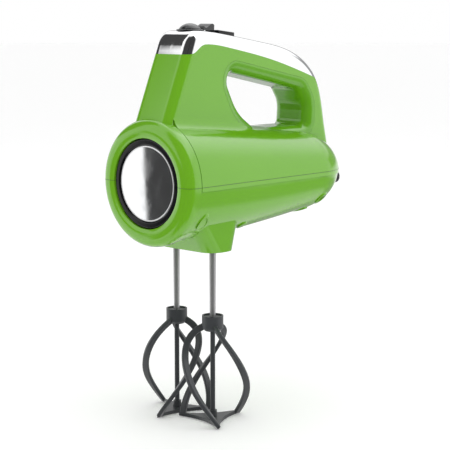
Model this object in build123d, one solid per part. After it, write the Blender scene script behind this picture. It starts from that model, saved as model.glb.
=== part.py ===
from build123d import *
import math
import os

# Hand mixer: a motor barrel with a D handle above it and two whisk beaters below.
# Millimetres. While the pieces are built, X runs from the nose to the heel with X = 0 at the beater
# axes, Y = 0 is the plane between the beaters, and Z = 0 is the lower face of the beater boss.
# On export everything moves so that the origin is the centre of the hand grip.

# ---------------------------------------------------------------- driving dimensions
BEATER_SPACING = 36.0          # between the two beater axes
BARREL_AXIS_Z = 50.0           # motor axis above the boss face
BARREL_RADIUS = 44.0           # round nose bezel, and half the width of the body
BODY_LENGTH = 186.0            # nose face to heel
NOSE_REACH = 49.0              # nose face ahead of the beater axes
HANDLE_HALF_WIDTH = 17.5
HANDLE_ROUND = 7.0             # long outer edges of the handle
GRIP_ROUND = 8.0               # edges of the finger opening
WALL = 2.4                     # moulded shells
TRIM_WALL = 2.0
SEAM_STEP = 0.9                # lower shell set back under the seam
SEAM_BAND = 3.0                # band between the seam and that step
JOINT_GAP = 0.15               # between shells that lie side by side
GROOVE = 0.8                   # decorative groove behind the bezel
MOVING_GAP = 0.3               # round buttons and levers

# grip centre, which becomes the origin
GRIP_X = 58.0
GRIP_Z = 131.0

# drive
WHEEL_TEETH = 24
WORM_RADIUS = 4.0
WORM_THROW = 0.8               # thread height each side of the mean radius
WORM_HALF_LENGTH = 9.2
MESH_GAP = 0.4
WHEEL_THICKNESS = 7.0
SHAFT_RADIUS = 2.4
RUNNING_FIT = 0.06             # radial, shafts in bushes
SPINDLE_RADIUS = 4.6
SPINDLE_BOTTOM_Z = 3.0
SPINDLE_TOP_Z = 66.0
BUSH_WALL = 2.0
SOCKET_RADIUS = 5.6            # holes in the boss

# motor
ROTOR_RADIUS = 13.5
AIR_GAP = 0.6
STATOR_WIDTH = 50.0
STATOR_HEIGHT = 44.0
STATOR_LENGTH = 26.0
STATOR_START_X = 47.0

# beaters
SHANK_RADIUS = 2.45
SHANK_TOP_Z = 54.0
KEY_SPAN = 8.0
KEY_THICKNESS = 1.5
KEY_HEIGHT = 5.0
HUB_RADIUS = 7.6
HUB_TOP_Z = -46.0
HUB_BOTTOM_Z = -57.0
CAGE_RADIUS = 26.0
CAGE_BOTTOM_Z = -122.0
STRAND_WIDTH = 4.8             # measured away from the beater axis
STRAND_THICKNESS = 2.9
STRAND_TWIST = 115.0           # degrees from hub to foot
LEFT_PHASE = -1.5              # where a strand leaves the left hub, degrees from +X
RIGHT_PHASE = 66.5

# controls on top of the handle
CONTROL_X = -3.5
DOME_RADIUS = 7.7
RING_RADIUS = 9.6
DOME_TOP_Z = 158.0
RING_TOP_Z = 154.0
EJECT_STROKE = 5.0
STEM_RADIUS = 3.0
BOOST_START_X = 18.0
BOOST_LENGTH = 17.0
BOOST_HALF_WIDTH = 6.5
BOOST_STROKE = 2.0
BOOST_FRONT_Z = 152.6
BOOST_BACK_Z = 150.6
BOOST_FOOT_Z = 143.5

# cord inlet and heel
CORD_RADIUS = 3.5
CORD_FIT = 0.1
GLAND_RADIUS = 6.5
HEEL_PAD_RADIUS = 5.0

# ---------------------------------------------------------------- sizes that follow
HEEL_X = BODY_LENGTH - NOSE_REACH
BEATER_Y = BEATER_SPACING / 2
WHEEL_RADIUS = BEATER_Y - WORM_RADIUS - MESH_GAP
NOSE_BACK_X = 12.0 - NOSE_REACH
SEAM_Z = BARREL_AXIS_Z
BUSH_BORE = SPINDLE_RADIUS + RUNNING_FIT
BUSH_RADIUS = BUSH_BORE + BUSH_WALL
SIDES = {"left": -1, "right": 1}

pieces = {}


def keep(name, shape):
    """Register a finished piece, moved so that the grip centre is the origin."""
    pieces[name] = shape.moved(Location((-GRIP_X, 0, -GRIP_Z)))


def plate(x0, x1, y0, y1, z0, z1):
    """A box between two corners."""
    return Pos((x0 + x1) / 2, (y0 + y1) / 2, (z0 + z1) / 2) * Box(x1 - x0, y1 - y0, z1 - z0)


def post(x, y, z0, z1, radius):
    """An upright cylinder."""
    return Pos(x, y, (z0 + z1) / 2) * Cylinder(radius, z1 - z0)


def rod(x0, x1, radius, y=0.0, z=BARREL_AXIS_Z):
    """A cylinder along X, on the motor axis unless told otherwise."""
    return Pos((x0 + x1) / 2, y, z) * Rot(0, 90, 0) * Cylinder(radius, x1 - x0)


def side_slab(face, half_width):
    """A side-view face made into a slab, symmetric about Y = 0."""
    return extrude(face, amount=half_width, both=True)


# ---------------------------------------------------------------- outer form
HEEL_ROUND = 43.0
HEEL_START_X = HEEL_X - HEEL_ROUND
BARREL_HALF_WIDTH = BARREL_RADIUS - 0.3
# barrel stations ahead of the rounded heel: x, lowest z, highest z
BARREL_STATIONS = (
    (NOSE_BACK_X, BARREL_AXIS_Z - BARREL_HALF_WIDTH, BARREL_AXIS_Z + BARREL_HALF_WIDTH),
    (10.0, 8.2, 89.0),
    (HEEL_START_X, 16.0, 80.5),
)


def station(x, half_width, low, high):
    """One upright elliptic section of the barrel."""
    where = Plane(origin=(x, 0, (low + high) / 2), x_dir=(0, 1, 0), z_dir=(1, 0, 0))
    return where * Ellipse(half_width, (high - low) / 2)


def barrel(inset):
    """The motor barrel behind the nose bezel, or the same form set in by a wall."""
    half_width = BARREL_HALF_WIDTH - inset
    sections = []
    for x, low, high in BARREL_STATIONS:
        sections.append(station(x, half_width, low + inset, high - inset))
    tube = loft(sections)
    half_height = (BARREL_STATIONS[-1][2] - BARREL_STATIONS[-1][1]) / 2 - inset
    middle = (BARREL_STATIONS[-1][2] + BARREL_STATIONS[-1][1]) / 2
    with BuildSketch(Plane.XY) as quarter:
        with BuildLine():
            EllipticalCenterArc((0, 0), HEEL_ROUND - inset, half_width, start_angle=0, arc_size=90)
            Line((0, half_width), (0, 0))
            Line((0, 0), (HEEL_ROUND - inset, 0))
        make_face()
    heel = scale(revolve(quarter.sketch, Axis.X), by=(1, 1, half_height / half_width))
    return tube + Pos(HEEL_START_X, 0, middle) * heel


def nose():
    """The round bezel, with the seat of the nose badge in its front."""
    front = -NOSE_REACH
    with BuildSketch(Plane.XZ) as profile:
        with BuildLine():
            Line((NOSE_BACK_X, 0), (NOSE_BACK_X, BARREL_RADIUS))
            Line((NOSE_BACK_X, BARREL_RADIUS), (front + 9, BARREL_RADIUS))
            Spline(
                (front + 9, BARREL_RADIUS),
                (front + 0.8, BARREL_RADIUS - 7.5),
                (front + 1.6, RING_SEAT_RADIUS),
                tangents=((-1, 0), (1, -2)),
            )
            Line((front + 1.6, RING_SEAT_RADIUS), (BADGE_FLOOR_X, RING_SEAT_RADIUS))
            Line((BADGE_FLOOR_X, RING_SEAT_RADIUS), (BADGE_FLOOR_X, 0))
            Line((BADGE_FLOOR_X, 0), (NOSE_BACK_X, 0))
        make_face()
    turned = revolve(profile.sketch, Axis.X)
    return Pos(0, 0, BARREL_AXIS_Z) * turned


RING_SEAT_RADIUS = 31.2
BADGE_FLOOR_X = NOSE_BACK_X - WALL

# side view of the handle, from the foot of the front pillar over the top to the heel
PILLAR_FOOT = (-44.0, 90.0)
PILLAR_TOP = (-24.2, 137.2)
CROWN_FRONT = (-9.5, 153.0)
HANDLE_TOP = ((18.0, 150.6), (57.0, 144.7), (100.0, 132.6))
HANDLE_TAIL = (117.0, 117.0)
TAIL_LOW = (127.0, 84.0)
TAIL_FOOT = (131.0, 66.0)
HANDLE_ROOT = (118.0, 60.0)


def set_in(points, distance):
    """Points of a clockwise outline moved inwards, square to the line through their neighbours."""
    moved = []
    for index, (x, z) in enumerate(points):
        before = points[max(index - 1, 0)]
        after = points[min(index + 1, len(points) - 1)]
        along = Vector(after[0] - before[0], after[1] - before[1]).normalized()
        moved.append((x + along.Y * distance, z - along.X * distance))
    return moved


def handle_outline(inset=0.0):
    """The handle and its two pillars seen from the side, finger opening not yet cut."""
    foot, top = set_in((PILLAR_FOOT, PILLAR_TOP), inset)
    crest = set_in((CROWN_FRONT, *HANDLE_TOP, HANDLE_TAIL, TAIL_LOW, TAIL_FOOT), inset)
    crest[0] = (CROWN_FRONT[0] + 0.3 * inset, CROWN_FRONT[1] - inset)
    rise = (PILLAR_TOP[0] - PILLAR_FOOT[0], PILLAR_TOP[1] - PILLAR_FOOT[1])
    with BuildSketch(Plane.XZ) as outline:
        with BuildLine():
            Line(foot, top)
            Spline(top, crest[0], tangents=(rise, (1, 0)))
            Spline(*crest, tangents=((1, 0), (0.2, -1.0)))
            Line(crest[-1], HANDLE_ROOT)
            Line(HANDLE_ROOT, foot)
        make_face()
    return outline.sketch


# finger opening at its narrowest, in the middle of the hand: front, top and rear corners
OPENING_CORNERS = (
    (20.5, 124.6),
    (96.0, 109.6),
    (104.0, 98.0),
    (103.0, 82.6),
    (50.0, 82.8),
    (30.0, 96.0),
)
OPENING_ROUNDS = (5.0, 8.0, 14.0, 4.0, 16.0, 40.0)
OPENING_LEAN = ((19.5, 116.0),)


def opening_face(grow):
    """The finger opening seen from the side, grown by a margin all round."""
    corners = OPENING_CORNERS + OPENING_LEAN
    rounds = OPENING_ROUNDS + (8.0,)
    wire = FilletPolyline(*[(x, z) for x, z in corners], radius=list(rounds), close=True)
    face = Plane.XZ * make_face(wire)
    if grow:
        face = offset(face, amount=grow)
    return face


def handle():
    """The solid handle with rounded outer edges and the rounded finger opening."""
    block = side_slab(handle_outline(), HANDLE_HALF_WIDTH)
    outer = [edge for edge in block.faces().filter_by(Axis.Y).edges() if edge.center().Z > 82]
    block = fillet(outer, HANDLE_ROUND)
    hole = side_slab(opening_face(0), HANDLE_HALF_WIDTH + 1)
    ring = block - hole
    rims = []
    for edge in ring.faces().filter_by(Axis.Y).edges():
        box = edge.bounding_box()
        if box.min.X > 10 and box.max.X < 112 and box.min.Z > 78 and box.max.Z < 131:
            rims.append(edge)
    return fillet(rims, GRIP_ROUND)


# ---------------------------------------------------------------- housing
BOSS_FOOT = (-10.6, 15.8, 27.8)        # lowest outline: front x, rear x, half width
BOSS_ROOT = (-33.0, 17.2, 33.0)        # where it leaves the barrel
BOSS_ROOT_Z = 27.0
BOSS_CORNER = 11.0
TRIM_EDGE = ((-21.5, 137.2), (-5.0, 143.8), (18.0, 141.1), (62.0, 132.2), (108.0, 118.8), (121.0, 114.6))
LINER_DEPTH = GRIP_ROUND + 0.2
LINER_WALL = 2.2
VENT_LENGTH = 10.5
VENT_WIDTH = 1.8
REAR_VENTS = 5
REAR_VENT_PITCH = 5.0
SCREW_PLACES = ((-27.0, 34.5), (101.0, 33.0))
SCREW_RADIUS = 1.5
SCREW_HEAD_RADIUS = 3.0
SCREW_HEAD_HEIGHT = 2.4
SCREW_POST_RADIUS = 4.2
SCREW_TOP_Z = 62.0


def boss(inset):
    """The skirt under the nose that carries the two beater sockets."""
    sections = []
    for z, (x0, x1, half) in ((0.0, BOSS_FOOT), (BOSS_ROOT_Z, BOSS_ROOT)):
        with BuildSketch(Plane.XY.offset(z)) as outline:
            with Locations(((x0 + x1) / 2, 0)):
                RectangleRounded(x1 - x0 - 2 * inset, 2 * (half - inset), BOSS_CORNER - inset)
        sections.append(outline.sketch)
    return loft(sections)


def trim_zone():
    """Everything above the lower edge of the bright top trim."""
    with BuildSketch(Plane.XZ) as zone:
        with BuildLine():
            Line((-40.0, 170.0), (-40.0, TRIM_EDGE[0][1]))
            Line((-40.0, TRIM_EDGE[0][1]), TRIM_EDGE[0])
            Spline(TRIM_EDGE[0], TRIM_EDGE[1], tangents=((1, 0), (1, 0)))
            Spline(*TRIM_EDGE[1:], tangents=((1, 0), (13, -4.2)))
            Line(TRIM_EDGE[-1], (150.0, 105.2))
            Line((150.0, 105.2), (150.0, 170.0))
            Line((150.0, 170.0), (-40.0, 170.0))
        make_face()
    return side_slab(zone.sketch, HANDLE_HALF_WIDTH + 5)


def screw_places():
    """Where the four housing screws stand."""
    return [(x, side * y) for x, y in SCREW_PLACES for side in (-1, 1)]


CAVITY = {}
PILLAR_BLEND = 10.0            # hollow curve where the front pillar's sides meet the barrel
PILLAR_BLEND_SPOT = (-0.9, 86.6)   # middle of that edge, X and Z


def blended(shape):
    """Round the inner corner between the front pillar's sides and the barrel."""
    x, z = PILLAR_BLEND_SPOT
    edges = []
    for edge in shape.edges():
        middle = edge.center()
        if abs(middle.X - x) < 4 and abs(middle.Z - z) < 3 and abs(abs(middle.Y) - HANDLE_HALF_WIDTH) < 1.5:
            edges.append(edge)
    return fillet(edges, PILLAR_BLEND)


def forms():
    """The solids that several pieces share, made once."""
    CAVITY["barrel"] = barrel(0)
    CAVITY["outside"] = blended(CAVITY["barrel"] + handle())
    CAVITY["inside"] = barrel(WALL)
    CAVITY["handle"] = handle()
    CAVITY["trim_zone"] = trim_zone()
    CAVITY["liner_zone"] = side_slab(opening_face(LINER_DEPTH), HANDLE_HALF_WIDTH + 5)


def hollow(top_inset, half_width):
    """The space inside the handle and its pillars."""
    space = side_slab(handle_outline(top_inset), half_width)
    around_liner = side_slab(opening_face(LINER_DEPTH + WALL), HANDLE_HALF_WIDTH + 5)
    return space - around_liner


def upper_housing():
    """Upper half of the bezel and barrel, both pillars and the green band of the handle."""
    body = CAVITY["outside"] + nose()
    body -= CAVITY["trim_zone"]
    body -= side_slab(opening_face(LINER_DEPTH + JOINT_GAP), HANDLE_HALF_WIDTH + JOINT_GAP)
    body -= CAVITY["inside"]
    body -= hollow(WALL, HANDLE_HALF_WIDTH - WALL)
    body &= plate(-60, 160, -60, 60, SEAM_Z, 170)
    for x, y in screw_places():
        stud = post(x, y, SEAM_Z, 75.0, SCREW_POST_RADIUS) & CAVITY["barrel"]
        body += stud
        body -= post(x, y, SEAM_Z - 1, SCREW_TOP_Z, SCREW_RADIUS + RUNNING_FIT)
    body -= bezel_groove()
    body -= rod(HEEL_X - 20, HEEL_X + 10, GLAND_RADIUS + JOINT_GAP, z=GLAND_Z)
    return body


def bezel_groove():
    """The fine ring that sets the bezel off from the barrel."""
    outer = rod(NOSE_BACK_X - 0.45, NOSE_BACK_X + 0.45, BARREL_RADIUS + 3)
    return outer - rod(NOSE_BACK_X - 1, NOSE_BACK_X + 1, BARREL_RADIUS - GROOVE)


GLAND_Z = 58.0


def lower_housing():
    """Lower half of the bezel and barrel with the beater boss."""
    under_step = plate(-60, 160, -60, 60, -10, SEAM_Z - SEAM_BAND)
    shell = (barrel(SEAM_STEP) & under_step) + (CAVITY["barrel"] - under_step) + nose()
    shell += boss(0)
    shell -= CAVITY["inside"]
    shell -= boss(WALL) & plate(-60, 60, -60, 60, WALL, 40)
    shell &= plate(-60, 160, -60, 60, -1, SEAM_Z)
    for x, y in screw_places():
        stud = post(x, y, 10.0, SEAM_Z, SCREW_POST_RADIUS) & CAVITY["barrel"]
        shell += stud
        shell -= post(x, y, 0, SEAM_Z + 1, SCREW_RADIUS + RUNNING_FIT)
        shell -= post(x, y, 0, SCREW_HEAD_Z, SCREW_HEAD_RADIUS + MOVING_GAP)
    for x, y in FRAME_FEET:
        shell += post(x, y, 5.0, PLATE_Z, FOOT_RADIUS) & (CAVITY["barrel"] + boss(0))
    rib = plate(REAR_BRACKET_X, REAR_BRACKET_X + 3, -20, 20, 10, BARREL_AXIS_Z - STATOR_HEIGHT / 2)
    shell += rib & CAVITY["barrel"]
    for side in SIDES.values():
        shell -= post(0, side * BEATER_Y, -5, WALL + 5, SOCKET_RADIUS)
    for side in SIDES.values():
        slot = Pos(34.5, side * 21.0, 14.0) * Rot(0, 0, side * 32) * Box(VENT_LENGTH, VENT_WIDTH, 20)
        shell -= slot
    for index in range(REAR_VENTS):
        x = HEEL_X - 38.0 + index * REAR_VENT_PITCH
        shell -= plate(x, x + VENT_WIDTH, -12, 12, 0, 38)
    shell -= bezel_groove()
    for side in SIDES.values():
        shell -= rod(HEEL_X - 20, HEEL_X + 10, HEEL_PAD_RADIUS + JOINT_GAP, y=side * HEEL_PAD_Y, z=HEEL_PAD_Z)
    return shell


SCREW_HEAD_Z = 33.0
FRAME_FEET = ((-12.0, 24.0), (-12.0, -24.0), (24.0, 24.0), (24.0, -24.0))
FOOT_RADIUS = 3.5
PLATE_Z = 22.0
PLATE_THICKNESS = 3.0
REAR_BRACKET_X = 98.0
HEEL_PAD_Y = 16.0
HEEL_PAD_Z = 41.0


def handle_trim():
    """Bright cap along the top of the handle, with the openings for the controls."""
    cap = CAVITY["handle"] & CAVITY["trim_zone"]
    cap -= hollow(TRIM_WALL, HANDLE_HALF_WIDTH - TRIM_WALL)
    cap -= post(CONTROL_X, 0, 130, 170, RING_RADIUS + MOVING_GAP)
    cap -= boost_block(MOVING_GAP)
    return cap


def boost_block(grow):
    """The boost button's outline, or the opening that it slides in."""
    half = BOOST_HALF_WIDTH + grow
    middle = BOOST_START_X + BOOST_LENGTH / 2
    block = Pos(middle, 0, 148) * Box(BOOST_LENGTH + 2 * grow, 2 * half, 20)
    return fillet(block.edges().filter_by(Axis.Z), 2.0 + grow)


def grip_liner():
    """Inner grip: the rounded lining all round the finger opening."""
    ring = (CAVITY["handle"] + CAVITY["barrel"]) & CAVITY["liner_zone"]
    ring &= plate(-60, 160, -HANDLE_HALF_WIDTH, HANDLE_HALF_WIDTH, 60, 170)
    space = side_slab(opening_face(LINER_DEPTH + 1), LINER_HALF_SPACE)
    space -= side_slab(opening_face(LINER_WALL), LINER_HALF_SPACE + 1)
    return ring - space


LINER_HALF_SPACE = 11.5


def nose_ring():
    """Gloss black ring round the badge."""
    back, front = BADGE_FLOOR_X, BADGE_FLOOR_X - 7.2
    ring = rod(front, back, RING_SEAT_RADIUS - JOINT_GAP) - rod(front - 1, back + 1, BADGE_RADIUS + JOINT_GAP)
    edges = [e for e in ring.edges().filter_by(GeomType.CIRCLE) if abs(e.center().X - front) < 0.01]
    return fillet(edges, 1.4)


BADGE_RADIUS = 25.9


def nose_badge():
    """Plain bright disc in the middle of the nose."""
    disc = rod(BADGE_FLOOR_X - 6.4, BADGE_FLOOR_X, BADGE_RADIUS)
    rim = [e for e in disc.edges().filter_by(GeomType.CIRCLE) if e.center().X < BADGE_FLOOR_X - 3]
    return chamfer(rim, 1.0)


def housing_screws():
    """Four screws that hold the halves together, put in from below."""
    screws = None
    for x, y in screw_places():
        screw = post(x, y, SCREW_HEAD_Z - SCREW_HEAD_HEIGHT, SCREW_HEAD_Z, SCREW_HEAD_RADIUS)
        screw -= plate(x - 0.5, x + 0.5, y - 2.2, y + 2.2, SCREW_HEAD_Z - 3, SCREW_HEAD_Z - 1.2)
        screw += post(x, y, SCREW_HEAD_Z, SCREW_TOP_Z - 2, SCREW_RADIUS)
        screws = screw if screws is None else screws + screw
    return screws


def cord_gland():
    """Flexible bush where the mains cord goes in."""
    back = HEEL_X - 16
    gland = rod(back, HEEL_X + 0.5, GLAND_RADIUS) + rod(back - 2, back + 0.0, GLAND_RADIUS + 2)
    gland -= rod(back - 5, HEEL_X + 5, CORD_RADIUS + CORD_FIT)
    return Pos(0, 0, GLAND_Z - BARREL_AXIS_Z) * gland


def heel_pads():
    """Two soft pads that the mixer stands on when it is set down on its heel."""
    pads = None
    for side in SIDES.values():
        pad = rod(HEEL_X - 14, HEEL_X + 1.5, HEEL_PAD_RADIUS, y=side * HEEL_PAD_Y, z=HEEL_PAD_Z)
        pads = pad if pads is None else pads + pad
    return pads


# ---------------------------------------------------------------- gearbox and motor mounting
FRAME_FRONT_X = -21.0
FRAME_REAR_X = 28.0
FRAME_HALF_WIDTH = 28.0
COVER_Z = 60.0
COVER_THICKNESS = 3.0
JOURNAL_RADIUS = 2.0
JOURNAL_X = -12.0
BUSH_LENGTH = 9.0


def gear_frame():
    """Die-cast frame: spindle plate, front journal post and the wall behind the gears."""
    base = plate(FRAME_FRONT_X, FRAME_REAR_X, -FRAME_HALF_WIDTH, FRAME_HALF_WIDTH, PLATE_Z, PLATE_Z + PLATE_THICKNESS)
    wall = plate(FRAME_REAR_X - 3, FRAME_REAR_X, -25, 25, PLATE_Z, COVER_Z)
    journal = plate(FRAME_FRONT_X, JOURNAL_X, -6, 6, PLATE_Z, BARREL_AXIS_Z + 6)
    frame = base + wall + journal
    for side in SIDES.values():
        frame += post(FRAME_FRONT_X + 3.2, side * (FRAME_HALF_WIDTH - 3.2), PLATE_Z, COVER_Z, 3.2)
        frame += post(0, side * BEATER_Y, PLATE_Z - BUSH_LENGTH + 3, PLATE_Z, BUSH_RADIUS + 2)
        frame -= post(0, side * BEATER_Y, 0, PLATE_Z + 5, BUSH_RADIUS)
    frame -= rod(FRAME_REAR_X - 10, FRAME_REAR_X + 5, BEARING_RADIUS)
    frame -= rod(FRAME_FRONT_X - 1, JOURNAL_X + 1, JOURNAL_RADIUS + RUNNING_FIT)
    for y, z in bolt_places():
        frame -= rod(FRAME_REAR_X - 8, FRAME_REAR_X + 5, BOLT_RADIUS, y=y, z=z)
    return frame


BEARING_RADIUS = 6.0
BEARING_LENGTH = 6.0
BOLT_RADIUS = 1.6


def bolt_places():
    """The two through bolts, at opposite corners of the stator."""
    y, z = STATOR_WIDTH / 2 - 4.5, STATOR_HEIGHT / 2 - 4.5
    return ((-y, BARREL_AXIS_Z - z), (y, BARREL_AXIS_Z + z), (y, BARREL_AXIS_Z - z), (-y, BARREL_AXIS_Z + z))


def gear_cover():
    """Plate over the worm wheels, which holds the upper spindle bushes."""
    cover = plate(
        FRAME_FRONT_X, FRAME_REAR_X, -FRAME_HALF_WIDTH, FRAME_HALF_WIDTH, COVER_Z, COVER_Z + COVER_THICKNESS
    )
    cover = fillet(cover.edges().filter_by(Axis.Z), 4)
    for side in SIDES.values():
        cover -= post(0, side * BEATER_Y, COVER_Z - 5, COVER_Z + 9, BUSH_RADIUS)
    return cover


def spindle_bushes():
    """Sintered bushes, two to each spindle."""
    bushes = None
    for side in SIDES.values():
        for low, high in ((PLATE_Z - BUSH_LENGTH + 3, PLATE_Z + PLATE_THICKNESS), (COVER_Z - 2, COVER_Z + COVER_THICKNESS)):
            bush = post(0, side * BEATER_Y, low, high, BUSH_RADIUS) - post(0, side * BEATER_Y, 0, 90, BUSH_BORE)
            bushes = bush if bushes is None else bushes + bush
    return bushes


def motor_bearing(x0):
    """Plain bearing of the motor shaft."""
    return rod(x0, x0 + BEARING_LENGTH, BEARING_RADIUS) - rod(x0 - 1, x0 + 9, SHAFT_RADIUS + RUNNING_FIT)


def rear_bracket():
    """Bridge behind the commutator, with the rear bearing and the brush holders' arms."""
    y, z = STATOR_WIDTH / 2, STATOR_HEIGHT / 2
    bridge = plate(REAR_BRACKET_X, REAR_BRACKET_X + 3, -y, y, BARREL_AXIS_Z - z, BARREL_AXIS_Z + z)
    bridge = fillet(bridge.edges().filter_by(Axis.X), 6)
    for side in SIDES.values():
        bridge -= plate(REAR_BRACKET_X - 1, REAR_BRACKET_X + 5, -10, 10, BARREL_AXIS_Z + side * 15 - 4, BARREL_AXIS_Z + side * 15 + 4)
    bridge += rod(REAR_BRACKET_X - 2, REAR_BRACKET_X + 5, BEARING_RADIUS + 2.5)
    bridge -= rod(REAR_BRACKET_X - 5, REAR_BRACKET_X + 9, BEARING_RADIUS)
    for y, z in bolt_places():
        bridge -= rod(REAR_BRACKET_X - 5, REAR_BRACKET_X + 9, BOLT_RADIUS, y=y, z=z)
    return bridge


def motor_bolts():
    """Four long bolts from the gear frame through the stator to the rear bracket."""
    bolts = None
    for y, z in bolt_places():
        bolt = rod(FRAME_REAR_X - 3, REAR_BRACKET_X + 3, BOLT_RADIUS - 0.02, y=y, z=z)
        bolt += rod(REAR_BRACKET_X + 3, REAR_BRACKET_X + 5.2, BOLT_RADIUS + 1.2, y=y, z=z)
        bolts = bolt if bolts is None else bolts + bolt
    return bolts


SLOT_Y = (12.5, 18.5)
SLOT_Z = (14.4, 20.0)


def stator_core():
    """Laminated stator with a round bore and four coil slots."""
    x0, x1 = STATOR_START_X, STATOR_START_X + STATOR_LENGTH
    core = plate(x0, x1, -STATOR_WIDTH / 2, STATOR_WIDTH / 2, BARREL_AXIS_Z - STATOR_HEIGHT / 2, BARREL_AXIS_Z + STATOR_HEIGHT / 2)
    core = fillet(core.edges().filter_by(Axis.X), 5)
    core -= rod(x0 - 1, x1 + 1, ROTOR_RADIUS + AIR_GAP)
    for side in SIDES.values():
        for up in (-1, 1):
            y0, y1 = sorted((side * SLOT_Y[0], side * SLOT_Y[1]))
            z0, z1 = sorted((up * SLOT_Z[0], up * SLOT_Z[1]))
            core -= plate(x0 - 1, x1 + 1, y0, y1, BARREL_AXIS_Z + z0, BARREL_AXIS_Z + z1)
    for y, z in bolt_places():
        core -= rod(x0 - 1, x1 + 1, BOLT_RADIUS + 0.05, y=y, z=z)
    return core


def field_coils():
    """Two flat coils, one over and one under the rotor, each through two slots."""
    coils = None
    middle = STATOR_START_X + STATOR_LENGTH / 2
    reach = STATOR_LENGTH / 2 + 6.5
    for up in (-1, 1):
        z0, z1 = sorted((up * (SLOT_Z[0] + 0.2), up * (SLOT_Z[1] - 0.2)))
        outer = plate(middle - reach, middle + reach, -SLOT_Y[1] + 0.2, SLOT_Y[1] - 0.2, BARREL_AXIS_Z + z0, BARREL_AXIS_Z + z1)
        outer = fillet(outer.edges().filter_by(Axis.Z), 4.5)
        inner = plate(middle - reach + 6, middle + reach - 6, -SLOT_Y[0] - 0.2, SLOT_Y[0] + 0.2, 0, 120)
        coil = outer - inner
        coils = coil if coils is None else coils + coil
    return coils


COMMUTATOR_X = 82.0
COMMUTATOR_LENGTH = 10.0
COMMUTATOR_RADIUS = 9.0
BRUSH_SIZE = (6.0, 5.0)
BRUSH_LENGTH = 8.0
BRUSH_X = COMMUTATOR_X + COMMUTATOR_LENGTH / 2


def brush_holders():
    """Two brass boxes that guide the brushes, each on an arm from the rear bracket."""
    holders = None
    for side in SIDES.values():
        y0, y1 = sorted((side * 10.5, side * 24.0))
        box = plate(BRUSH_X - 4.2, BRUSH_X + 4.2, y0, y1, BARREL_AXIS_Z - 3.7, BARREL_AXIS_Z + 3.7)
        y2, y3 = sorted((side * 15.0, side * 21.0))
        box += plate(BRUSH_X + 4.2, REAR_BRACKET_X, y2, y3, BARREL_AXIS_Z - 3.0, BARREL_AXIS_Z + 3.0)
        bore = (BRUSH_SIZE[0] / 2 + 0.05, BRUSH_SIZE[1] / 2 + 0.05)
        y4, y5 = sorted((side * 9.0, side * 22.8))
        box -= plate(BRUSH_X - bore[0], BRUSH_X + bore[0], y4, y5, BARREL_AXIS_Z - bore[1], BARREL_AXIS_Z + bore[1])
        holders = box if holders is None else holders + box
    return holders


def carbon_brushes():
    """Two carbon blocks that ride on the commutator."""
    brushes = None
    for side in SIDES.values():
        start = COMMUTATOR_RADIUS + RUNNING_FIT
        y0, y1 = sorted((side * start, side * (start + BRUSH_LENGTH)))
        brush = plate(
            BRUSH_X - BRUSH_SIZE[0] / 2, BRUSH_X + BRUSH_SIZE[0] / 2, y0, y1,
            BARREL_AXIS_Z - BRUSH_SIZE[1] / 2, BARREL_AXIS_Z + BRUSH_SIZE[1] / 2,
        )
        brushes = brush if brushes is None else brushes + brush
    return brushes


def coil_spring(radius, wire, length, turns):
    """A round-wire compression spring along +Z from the origin."""
    path = Helix(pitch=(length - 2 * wire) / turns, height=length - 2 * wire, radius=radius)
    start = Plane(origin=path @ 0, z_dir=path % 0)
    return Pos(0, 0, wire) * sweep(start * Circle(wire), path=path, is_frenet=True)


def brush_springs():
    """A coil spring behind each brush."""
    springs = None
    for side in SIDES.values():
        start = COMMUTATOR_RADIUS + RUNNING_FIT + BRUSH_LENGTH + 0.1
        spring = Pos(BRUSH_X, side * start, BARREL_AXIS_Z) * Rot(-90 * side, 0, 0) * coil_spring(1.8, 0.25, 5.5, 5)
        springs = spring if springs is None else springs + spring
    return springs


# ---------------------------------------------------------------- rotor
def worm():
    """Single-start worm: a circle set off the axis and turned as it is drawn out."""
    lead = 2 * math.pi * WHEEL_RADIUS / WHEEL_TEETH
    turns = 2 * WORM_HALF_LENGTH / lead
    where = Plane(origin=(-WORM_HALF_LENGTH, 0, BARREL_AXIS_Z), x_dir=(0, 1, 0), z_dir=(1, 0, 0))
    phase = math.radians(-WORM_HALF_LENGTH / lead * 360)
    centre = (WORM_THROW * math.cos(phase), WORM_THROW * math.sin(phase))
    return Solid.extrude_linear_with_rotation(
        (where * Pos(*centre) * Circle(WORM_RADIUS)).face(),
        where.origin,
        where.z_dir * 2 * WORM_HALF_LENGTH,
        360 * turns,
    )


def motor_shaft():
    """Rotor shaft with the worm cut on its front end."""
    shaft = rod(WORM_HALF_LENGTH - 0.1, REAR_BRACKET_X + 7, SHAFT_RADIUS)
    shaft += rod(FRAME_FRONT_X + 1, -WORM_HALF_LENGTH + 0.1, JOURNAL_RADIUS)
    return shaft + worm()


ROTOR_SLOTS = 11


def rotor_core():
    """Slotted rotor laminations."""
    x0, x1 = STATOR_START_X + 1, STATOR_START_X + STATOR_LENGTH - 1
    core = rod(x0, x1, ROTOR_RADIUS) - rod(x0 - 1, x1 + 1, SHAFT_RADIUS)
    for index in range(ROTOR_SLOTS):
        angle = index * 360 / ROTOR_SLOTS
        slot = Rot(angle, 0, 0) * plate(x0 - 1, x1 + 1, -0.9, 0.9, ROTOR_RADIUS - 3.6, ROTOR_RADIUS + 1)
        core -= Pos(0, 0, BARREL_AXIS_Z) * slot
    return core


def rotor_windings():
    """Wound wire heads on both ends of the rotor."""
    heads = None
    for x0, x1 in ((STATOR_START_X - 4.5, STATOR_START_X + 1), (STATOR_START_X + STATOR_LENGTH - 1, STATOR_START_X + STATOR_LENGTH + 5)):
        head = rod(x0, x1, ROTOR_RADIUS - 1.2) - rod(x0 - 1, x1 + 1, SHAFT_RADIUS)
        outer = [e for e in head.edges().filter_by(GeomType.CIRCLE) if e.radius > 5]
        head = fillet(outer, 1.6)
        heads = head if heads is None else heads + head
    return heads


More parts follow.
